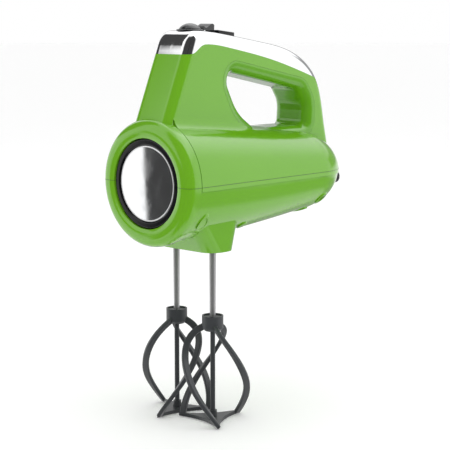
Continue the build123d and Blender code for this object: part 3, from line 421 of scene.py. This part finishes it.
class Bench:
    """The modelling steps that several pieces share."""

    @staticmethod
    def clear() -> None:
        """Leave edit mode and deselect everything."""
        if bpy.context.object is not None and bpy.context.object.mode != "OBJECT":
            bpy.ops.object.mode_set(mode="OBJECT")
        bpy.ops.object.select_all(action="DESELECT")

    @staticmethod
    def take_up(piece: bpy.types.Object) -> None:
        """Put a new object in the scene, as the one that is selected and active."""
        Bench.clear()
        bpy.context.scene.collection.objects.link(piece)
        piece.select_set(True)
        bpy.context.view_layer.objects.active = piece

    @staticmethod
    def wire_to_mesh() -> bpy.types.Object:
        """Make the active curve a smooth mesh and return it."""
        bpy.ops.object.convert(target="MESH")
        bpy.ops.object.shade_smooth_by_angle(angle=math.radians(60.0))
        return bpy.context.object

    @staticmethod
    def settle(piece: bpy.types.Object, name: str) -> bpy.types.Object:
        """Name a piece and move its place into its mesh.

        Args:
            piece: The new piece, which is the active object.
            name: Its name.

        Returns:
            The piece, at the origin, unturned and unscaled.
        """
        piece.name = name
        piece.data.name = name
        bpy.ops.object.transform_apply(location=True, rotation=True, scale=True)
        return piece

    @staticmethod
    def select_faces(piece: bpy.types.Object, wanted: Callable[[bpy.types.MeshPolygon], bool]) -> None:
        """Select the faces that pass a test, in face mode, and enter edit mode.

        Args:
            piece: The active piece, in object mode.
            wanted: The test.
        """
        bpy.ops.object.mode_set(mode="EDIT")
        bpy.ops.mesh.select_mode(type="FACE")
        bpy.ops.mesh.select_all(action="DESELECT")
        bpy.ops.object.mode_set(mode="OBJECT")
        for face in piece.data.polygons:
            face.select = wanted(face)
        bpy.ops.object.mode_set(mode="EDIT")

    @staticmethod
    def round_edges(piece: bpy.types.Object, width: float, segments: int, angle: float = 30.0) -> None:
        """Round a piece's sharp edges with an applied bevel and smooth its shading.

        Args:
            piece: The active piece, in object mode.
            width: The bevel's width in metres.
            segments: Its steps.
            angle: The sharpness from which an edge is rounded, in degrees.
        """
        bevel = piece.modifiers.new("edges", "BEVEL")
        bevel.width = width
        bevel.segments = segments
        bevel.limit_method = "ANGLE"
        bevel.angle_limit = math.radians(angle)
        bpy.ops.object.modifier_apply(modifier=bevel.name)
        bpy.ops.object.shade_smooth_by_angle(angle=math.radians(35.0))


@dataclass
class NoseMirror:
    """The bright disc in the nose: a very slightly crowned face with a chamfered rim.

    Attributes:
        wardrobe: Holds the finishes.
        radius: The disc's radius in metres.
        rim: Width of its chamfer.
        crown: Rise of its middle over its edge.
        rings: Steps of the crown.
    """

    wardrobe: Wardrobe
    radius: float = 0.0259
    rim: float = 0.0009
    crown: float = 0.00022
    rings: int = 5

    def build(self) -> bpy.types.Object:
        """Model the disc on the place of the construction's disc.

        Returns:
            The finished disc, riding on the housing.
        """
        low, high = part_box("nose_badge")
        middle = (low + high) / 2
        depth = high.x - low.x
        Bench.clear()
        bpy.ops.mesh.primitive_cylinder_add(
            vertices=128,
            radius=self.radius,
            depth=depth,
            end_fill_type="NGON",
            location=(middle.x, middle.y, middle.z),
            rotation=(0.0, -math.pi / 2, 0.0),
        )
        disc = Bench.settle(bpy.context.object, "nose_mirror")
        Bench.select_faces(disc, lambda face: face.normal.x < -0.9)
        bpy.ops.mesh.bevel(offset=self.rim, segments=1, affect="EDGES")
        bpy.ops.object.mode_set(mode="OBJECT")
        Bench.select_faces(disc, lambda face: face.normal.x < -0.95)
        step = (self.radius - self.rim) / (self.rings + 0.4)
        reach = self.radius - self.rim
        for ring in range(1, self.rings + 1):
            bpy.ops.mesh.inset(thickness=step, depth=0.0)
            before = reach - step * (ring - 1)
            after = reach - step * ring
            rise = self.crown * (before**2 - after**2) / reach**2
            bpy.ops.transform.translate(value=(-rise, 0.0, 0.0))
        bpy.ops.mesh.poke()
        bpy.ops.object.mode_set(mode="OBJECT")
        bpy.ops.object.shade_smooth_by_angle(angle=math.radians(20.0))
        self.wardrobe.wear(disc, "bright_trim")
        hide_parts("nose_badge")
        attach(disc, "housing")
        return disc


@dataclass
class MirrorRim:
    """The fine rim that holds the disc in its black ring, in a light satin finish that paints the bevel's
    highlight as a steady bright line.

    Attributes:
        wardrobe: Holds the finishes.
        radius: From the nose axis to the middle of the rim.
        thickness: Radius of the rim itself.
        proud: How far it stands in front of the disc.
    """

    wardrobe: Wardrobe
    radius: float = 0.0255
    thickness: float = 0.00055
    proud: float = 0.0001

    def build(self) -> bpy.types.Object:
        """Model the rim round the disc's edge.

        Returns:
            The rim, riding on the housing.
        """
        low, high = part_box("nose_badge")
        Bench.clear()
        bpy.ops.mesh.primitive_torus_add(
            major_segments=160,
            minor_segments=16,
            major_radius=self.radius,
            minor_radius=self.thickness,
            location=(low.x + self.thickness - self.proud, 0.0, (low.z + high.z) / 2),
            rotation=(0.0, math.pi / 2, 0.0),
        )
        rim = Bench.settle(bpy.context.object, "mirror_rim")
        Bench.select_faces(rim, lambda face: face.center.x > low.x + 1.4 * self.thickness)
        bpy.ops.transform.resize(
            value=(1.0, 1.004, 1.004), center_override=(low.x, 0.0, (low.z + high.z) / 2)
        )
        bpy.ops.object.mode_set(mode="OBJECT")
        bpy.ops.object.shade_smooth_by_angle(angle=math.radians(50.0))
        # Light satin, as a painted highlight round the disc.
        self.wardrobe.wear(rim, "bright_rim")
        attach(rim, "housing")
        return rim


@dataclass
class BoostCap:
    """The black boost button: a rounded block with a sloping top and a finger hollow.

    Attributes:
        wardrobe: Holds the finishes.
        rise: Height over the plain button.
        slope: Fall of the top from front to back.
        rim: Width round the hollow.
        hollow: Depth of the hollow.
        edge: Width of the rounded edges.
    """

    wardrobe: Wardrobe
    rise: float = 0.0011
    slope: float = 0.0019
    rim: float = 0.0012
    hollow: float = 0.0003
    edge: float = 0.0007

    def build(self) -> bpy.types.Object:
        """Model the button over the construction's button.

        Returns:
            The finished button, riding on the boost body.
        """
        low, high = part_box("boost_button")
        top = high.z + self.rise
        Bench.clear()
        bpy.ops.mesh.primitive_cube_add(
            size=1.0,
            location=((low.x + high.x) / 2, 0.0, (low.z + top) / 2),
            scale=(high.x - low.x, high.y - low.y, top - low.z),
        )
        cap = Bench.settle(bpy.context.object, "boost_cap")
        Bench.select_faces(cap, lambda face: face.normal.z > 0.9)
        bpy.ops.mesh.inset(thickness=self.rim, depth=0.0)
        bpy.ops.transform.translate(value=(0.0, 0.0, -self.hollow))
        bpy.ops.object.mode_set(mode="OBJECT")
        for corner in cap.data.vertices:
            if corner.co.z > low.z + 0.5 * (top - low.z):
                share = (corner.co.x - low.x) / (high.x - low.x)
                corner.co.z -= self.slope * share
        Bench.round_edges(cap, self.edge, 3)
        self.wardrobe.wear(cap, "gloss_black")
        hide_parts("boost_button")
        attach(cap, "boost")
        return cap


@dataclass
class SeamShadowLine:
    """A fine black line laid along the joint between the upper and the lower housing, as painted shadow: the
    shells meet without a gap, and this line stands in for the joint's shade.

    Attributes:
        wardrobe: Holds the finishes.
        level: Height of the joint.
        thickness: Radius of the line.
        cut_above: How far over the joint the outline is taken.
    """

    wardrobe: Wardrobe
    level: float = -0.081
    thickness: float = 0.00013
    cut_above: float = 0.00006

    def build(self, upper: bpy.types.Object) -> bpy.types.Object:
        """Cut the upper housing's outline at the joint and draw a thin black line along it, as painted
        shadow.

        Args:
            upper: The construction's upper housing, which is only copied.

        Returns:
            The painted shadow line, riding on the housing.
        """
        shadow_line = bpy.data.objects.new("seam_shadow_line", upper.data.copy())
        Bench.take_up(shadow_line)
        bpy.ops.object.mode_set(mode="EDIT")
        bpy.ops.mesh.select_all(action="SELECT")
        bpy.ops.mesh.remove_doubles(threshold=0.000002)
        bpy.ops.mesh.select_all(action="SELECT")
        bpy.ops.mesh.bisect(
            plane_co=(0.0, 0.0, self.level + self.cut_above),
            plane_no=(0.0, 0.0, 1.0),
            clear_inner=True,
            clear_outer=True,
        )
        bpy.ops.mesh.select_all(action="SELECT")
        bpy.ops.mesh.remove_doubles(threshold=0.00001)
        bpy.ops.object.mode_set(mode="OBJECT")
        shadow_line.data.materials.clear()
        bpy.ops.object.convert(target="CURVE")
        shadow_line = bpy.context.object
        shadow_line.data.bevel_depth = self.thickness
        shadow_line.data.bevel_resolution = 1
        shadow_line = Bench.wire_to_mesh()
        # Soft black, as painted shadow along the joint.
        self.wardrobe.wear(shadow_line, "soft_black")
        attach(shadow_line, "housing")
        return shadow_line


@dataclass
class CoilSpring:
    """A round-wire return spring, wound at its rest length.

    Attributes:
        wardrobe: Holds the finishes.
        joint: The button's joint; not used.
        stroke: Its full travel in metres; not used.
        wire: Radius of the wire.
        turns: Number of coils.
        steps_per_turn: Straight steps in one coil.
    """

    wardrobe: Wardrobe
    joint: str
    stroke: float
    wire: float
    turns: int
    steps_per_turn: int = 24

    def build(self, node: bpy.types.Object) -> bpy.types.Object:
        """Wind the wire in the box of the construction's spring and stand for that node.

        Args:
            node: The construction's spring, which gives the place and the rest length.

        Returns:
            The spring, standing on the housing.
        """
        low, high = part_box(node.name)
        middle = (low + high) / 2
        radius = (high.y - low.y) / 2 - self.wire
        rise = high.z - low.z - 2 * self.wire
        steps = self.turns * self.steps_per_turn
        data = bpy.data.curves.new(f"{node.name}_coil", "CURVE")
        data.dimensions = "3D"
        data.bevel_depth = self.wire
        data.bevel_resolution = 3
        data.use_fill_caps = True
        line = data.splines.new("POLY")
        line.points.add(steps)
        for step, point in enumerate(line.points):
            angle = 2 * math.pi * step / self.steps_per_turn
            point.co = (
                middle.x + radius * math.cos(angle),
                middle.y + radius * math.sin(angle),
                low.z + self.wire + rise * step / steps,
                1.0,
            )
        coil = bpy.data.objects.new(f"{node.name}_coil", data)
        Bench.take_up(coil)
        coil = Bench.wire_to_mesh()
        self.wardrobe.wear(coil, "steel")
        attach(coil, "housing")
        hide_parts(node.name)
        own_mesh(coil)
        return coil


@dataclass
class WellCover:
    """A flush plug that closes one front screw well, shaped to the shell around it.

    Attributes:
        wardrobe: Holds the finishes.
        place: X and Y of the well.
        name: The plug's name.
        well: Radius of the well.
        cover: Radius of the plug.
        reach: How far around the well the shell is fitted.
        proud: How far the plug stands out.
        skin: Its thickness.
        band: Lowest and highest points that are fitted.
    """

    wardrobe: Wardrobe
    place: tuple[float, float]
    name: str
    well: float = 0.0033
    cover: float = 0.0037
    reach: float = 0.009
    proud: float = 0.00004
    skin: float = 0.0004
    band: tuple[float, float] = (-0.125, -0.09)

    def build(self, shell: bpy.types.Object) -> bpy.types.Object:
        """Model the plug on the shell's own curve.

        Args:
            shell: The construction's lower housing.

        Returns:
            The plug, riding on the housing.
        """
        x, y = self.place
        heights = self._curve(shell)
        Bench.clear()
        bpy.ops.mesh.primitive_circle_add(
            vertices=40, radius=self.cover, fill_type="TRIFAN", location=(x, y, 0.0)
        )
        plug = Bench.settle(bpy.context.object, self.name)
        bpy.ops.object.mode_set(mode="EDIT")
        bpy.ops.mesh.select_all(action="SELECT")
        bpy.ops.mesh.subdivide(number_cuts=3)
        bpy.ops.object.mode_set(mode="OBJECT")
        for corner in plug.data.vertices:
            away_x, away_y = corner.co.x - x, corner.co.y - y
            corner.co.z = sum(
                factor * term
                for factor, term in zip(heights, (1.0, away_x, away_y, away_y**2, away_x * away_y))
            ) - self.proud
        skin = plug.modifiers.new("skin", "SOLIDIFY")
        skin.thickness = self.skin
        skin.offset = 1.0
        bpy.ops.object.modifier_apply(modifier=skin.name)
        bpy.ops.object.mode_set(mode="EDIT")
        bpy.ops.mesh.select_all(action="SELECT")
        bpy.ops.mesh.normals_make_consistent(inside=False)
        bpy.ops.object.mode_set(mode="OBJECT")
        bpy.ops.object.shade_smooth_by_angle(angle=math.radians(40.0))
        self.wardrobe.wear(plug, "green_shell")
        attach(plug, "housing")
        return plug

    def _curve(self, shell: bpy.types.Object) -> list[float]:
        """Fit the shell's outer height around the well.

        Args:
            shell: The construction's lower housing.

        Returns:
            The factors of 1, dx, dy, dy squared and dx times dy.
        """
        x, y = self.place
        rows, levels = [], []
        for corner, normal in zip(shell.data.vertices, shell.data.vertex_normals):
            away_x, away_y = corner.co.x - x, corner.co.y - y
            away = math.hypot(away_x, away_y)
            outward = normal.vector.z < -0.1 and normal.vector.y * y > 0.0
            in_band = self.band[0] < corner.co.z < self.band[1]
            if self.well - 0.0001 < away < self.reach and outward and in_band:
                rows.append((1.0, away_x, away_y, away_y**2, away_x * away_y))
                levels.append(corner.co.z)
        factors, *_ = numpy.linalg.lstsq(numpy.array(rows), numpy.array(levels), rcond=None)
        LOG.info("%s fitted on %d points", self.name, len(rows))
        return [float(factor) for factor in factors]


@dataclass
class Softbox:
    """One rectangular studio light."""

    name: str
    place: Point
    aim: Point
    size: tuple[float, float]
    power: float
    tint: Colour = (1.0, 1.0, 1.0)

    def build(self) -> bpy.types.Object:
        """Add the light, aimed at its point, and return it."""
        data = bpy.data.lights.new(self.name, "AREA")
        data.shape = "RECTANGLE"
        data.size, data.size_y = self.size
        data.energy = self.power
        data.color = self.tint
        lamp = bpy.data.objects.new(self.name, data)
        bpy.context.scene.collection.objects.link(lamp)
        lamp.location = self.place
        lamp.visible_glossy = False
        lamp.rotation_mode = "QUATERNION"
        lamp.rotation_quaternion = (Vector(self.aim) - Vector(self.place)).to_track_quat("-Z", "Y")
        return lamp


@dataclass(frozen=True)
class Card:
    """One card hung in the room for glossy skins, from its compass turns and its rises in degrees."""

    turns: tuple[float, float]
    rises: tuple[float, float]
    level: float
    blur: float = 5.0

    def mask(
        self, sheet: NodeSheet, turn: bpy.types.NodeSocket, rise: bpy.types.NodeSocket
    ) -> bpy.types.NodeSocket:
        """Add the nodes that are 1 on the card and 0 off it.

        Args:
            sheet: The world's sheet.
            turn: The direction's compass turn, from 60 to 420 degrees.
            rise: The direction's rise above level, in degrees.

        Returns:
            The socket that holds the mask.
        """
        edges = (
            (turn, self.turns[0], 1.0),
            (turn, self.turns[1], -1.0),
            (rise, self.rises[0], 1.0),
            (rise, self.rises[1], -1.0),
        )
        whole = None
        for source, at, way in edges:
            ramp = sheet.add("MapRange", interpolation_type="SMOOTHSTEP")
            ramp.inputs["From Min"].default_value = at - way * self.blur / 2
            ramp.inputs["From Max"].default_value = at + way * self.blur / 2
            sheet.join(source, ramp.inputs["Value"])
            if whole is None:
                whole = ramp.outputs["Result"]
                continue
            both = sheet.add("Math", operation="MULTIPLY")
            sheet.join(whole, both.inputs[0])
            sheet.join(ramp.outputs["Result"], both.inputs[1])
            whole = both.outputs["Value"]
        return whole


@dataclass
class Studio:
    """The floor, the light and the camera."""

    floor_level: float
    room_level: float = 1.2
    matt_level: float = 0.93
    cards: tuple[Card, ...] = (
        Card((60.0, 420.0), (-95.0, -34.0), 0.9, 10.0),
        Card((250.0, 420.0), (38.0, 78.0), 2.4, 22.0),
        Card((245.0, 420.0), (-34.0, -13.0), 0.35, 8.0),
        Card((340.0, 420.0), (3.0, 20.0), 0.35, 6.0),
        Card((80.0, 126.3), (10.0, 62.0), 0.06, 2.2),
        Card((160.0, 282.0), (-62.0, 74.0), 0.05, 16.0),
        Card((133.3, 170.0), (-26.0, 2.0), 0.055, 0.25),
    )
    camera_place: Point = (-0.73518, -0.66452, 0.03132)
    camera_yaw: float = 46.86
    camera_dip: float = 8.74
    camera_lens: float = 108.3
    floor_reach: float = 14.0

    def build(self) -> None:
        """Make the whole studio."""
        self._floor()
        self._world()
        self._lights()
        self._camera()

    def _floor(self) -> None:
        """Lay a wide pale disc under the object."""
        bpy.ops.object.select_all(action="DESELECT")
        bpy.ops.mesh.primitive_circle_add(
            vertices=96, radius=self.floor_reach, fill_type="NGON", location=(0.0, 0.0, self.floor_level)
        )
        floor = bpy.context.object
        floor.name = "floor"
        bpy.ops.object.transform_apply(location=True, rotation=True, scale=True)
        bpy.ops.object.mode_set(mode="EDIT")
        bpy.ops.mesh.select_all(action="SELECT")
        bpy.ops.mesh.inset(thickness=0.4, depth=0.0)
        bpy.ops.object.mode_set(mode="OBJECT")
        paper = bpy.data.materials.new("Studio Paper")
        paper.use_nodes = True
        shader = paper.node_tree.nodes["Principled BSDF"]
        sheet = NodeSheet(paper.node_tree)
        place = sheet.add("TexCoord")
        noise = sheet.add("TexNoise", Scale=3.0, Detail=2.0)
        ramp = sheet.add("MapRange", To_Min=0.975, To_Max=0.995)
        sheet.join(place.outputs["Object"], noise.inputs["Vector"])
        sheet.join(noise.outputs["Fac"], ramp.inputs["Value"])
        sheet.join(ramp.outputs["Result"], shader.inputs["Base Color"])
        shader.inputs["Roughness"].default_value = 0.6
        shader.inputs["Emission Color"].default_value = (1.0, 1.0, 1.0, 1.0)
        shader.inputs["Emission Strength"].default_value = 0.055
        shader.inputs["Specular IOR Level"].default_value = 0.15
        floor.data.materials.append(paper)
        floor.visible_glossy = False
        floor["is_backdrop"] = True

    def _world(self) -> None:
        """Give a white surround to the eye, even light to matt skins and hung cards to glossy ones."""
        world = bpy.data.worlds.new("Studio Room")
        bpy.context.scene.world = world
        world.use_nodes = True
        tree = world.node_tree
        tree.nodes.clear()
        sheet = NodeSheet(tree)
        place = sheet.add("TexCoord")
        split = sheet.add("SeparateXYZ")
        sheet.join(place.outputs["Generated"], split.inputs["Vector"])
        turn = sheet.add("Math", operation="ARCTAN2")
        sheet.join(split.outputs["Y"], turn.inputs[0])
        sheet.join(split.outputs["X"], turn.inputs[1])
        turn_degrees = sheet.add("Math", operation="DEGREES")
        sheet.join(turn.outputs["Value"], turn_degrees.inputs[0])
        round_degrees = sheet.add("Math", operation="WRAP")
        sheet.join(turn_degrees.outputs["Value"], round_degrees.inputs[0])
        round_degrees.inputs[1].default_value = 420.0
        round_degrees.inputs[2].default_value = 60.0
        rise = sheet.add("Math", operation="ARCSINE")
        sheet.join(split.outputs["Z"], rise.inputs[0])
        rise_degrees = sheet.add("Math", operation="DEGREES")
        sheet.join(rise.outputs["Value"], rise_degrees.inputs[0])

        level = sheet.add("Value")
        level.outputs[0].default_value = self.room_level
        seen_level = level.outputs[0]
        for card in self.cards:
            mask = card.mask(sheet, round_degrees.outputs["Value"], rise_degrees.outputs["Value"])
            mixed = sheet.add("Mix", data_type="FLOAT")
            sheet.join(mask, mixed.inputs[MIX_SHARE])
            sheet.join(seen_level, mixed.inputs[NUMBER_A])
            mixed.inputs[NUMBER_B].default_value = card.level
            seen_level = mixed.outputs[NUMBER_OUT]

        glossy = sheet.add("Background", Strength=1.0)
        sheet.join(seen_level, glossy.inputs["Color"])
        matt = sheet.add("Background", Color=(1.0, 1.0, 1.0, 1.0), Strength=self.matt_level)
        seen = sheet.add("Background", Color=(1.0, 1.0, 1.0, 1.0), Strength=1.0)
        path = sheet.add("LightPath")
        by_gloss = sheet.add("MixShader")
        sheet.join(path.outputs["Is Glossy Ray"], by_gloss.inputs[0])
        sheet.join(matt.outputs["Background"], by_gloss.inputs[1])
        sheet.join(glossy.outputs["Background"], by_gloss.inputs[2])
        by_eye = sheet.add("MixShader")
        sheet.join(path.outputs["Is Camera Ray"], by_eye.inputs[0])
        sheet.join(by_gloss.outputs["Shader"], by_eye.inputs[1])
        sheet.join(seen.outputs["Background"], by_eye.inputs[2])
        end = sheet.add("OutputWorld")
        sheet.join(by_eye.outputs["Shader"], end.inputs["Surface"])

    def _lights(self) -> None:
        """Hang the softboxes."""
        aim = (0.0, 0.0, -0.08)
        boxes = (
            Softbox("overhead_box", (0.15, -0.1, 1.3), aim, (1.6, 1.4), 4.0),
            Softbox("side_box", (0.5, -1.4, 0.5), aim, (1.2, 1.0), 2.5),
        )
        for box in boxes:
            box.build()
            LOG.info("hung %s", box.name)

    def _camera(self) -> None:
        """Stand the camera in its place and make it the scene's own."""
        data = bpy.data.cameras.new("studio_camera")
        data.sensor_width = 36.0
        data.lens = self.camera_lens
        data.clip_start, data.clip_end = 0.05, 60.0
        camera = bpy.data.objects.new("studio_camera", data)
        bpy.context.scene.collection.objects.link(camera)
        camera.location = self.camera_place
        camera.rotation_euler = (math.radians(90.0 - self.camera_dip), 0.0, math.radians(-self.camera_yaw))
        bpy.context.scene.camera = camera


def main() -> None:
    """Load the frame, dress it, add the made pieces and the studio under the frame's lowest point."""
    logging.basicConfig(level=logging.INFO, format="%(name)s: %(message)s")
    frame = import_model()
    frame_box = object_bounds()
    nodes = frame["nodes"]
    wardrobe = Wardrobe(FINISHES)
    wardrobe.dress_frame(nodes)
    made = [
        NoseMirror(wardrobe).build(),
        MirrorRim(wardrobe).build(),
        BoostCap(wardrobe).build(),
        SeamShadowLine(wardrobe).build(nodes["upper_housing"]),
        WellCover(wardrobe, (WELL_X, -WELL_Y), "near_well_plug").build(nodes["lower_housing"]),
        WellCover(wardrobe, (WELL_X, WELL_Y), "far_well_plug").build(nodes["lower_housing"]),
        CoilSpring(wardrobe, "eject_press", stroke=0.005, wire=0.0005, turns=8).build(nodes["eject_spring"]),
        CoilSpring(wardrobe, "boost_press", stroke=0.002, wire=0.00025, turns=4).build(nodes["boost_spring"]),
    ]
    for piece in made:
        LOG.info("built %s with %d faces", piece.name, len(piece.data.polygons))
    bpy.context.scene.view_settings.view_transform = "Standard"
    Studio(floor_level=frame_box[0].z - FLOOR_GAP).build()


if __name__ == "__main__":
    main()
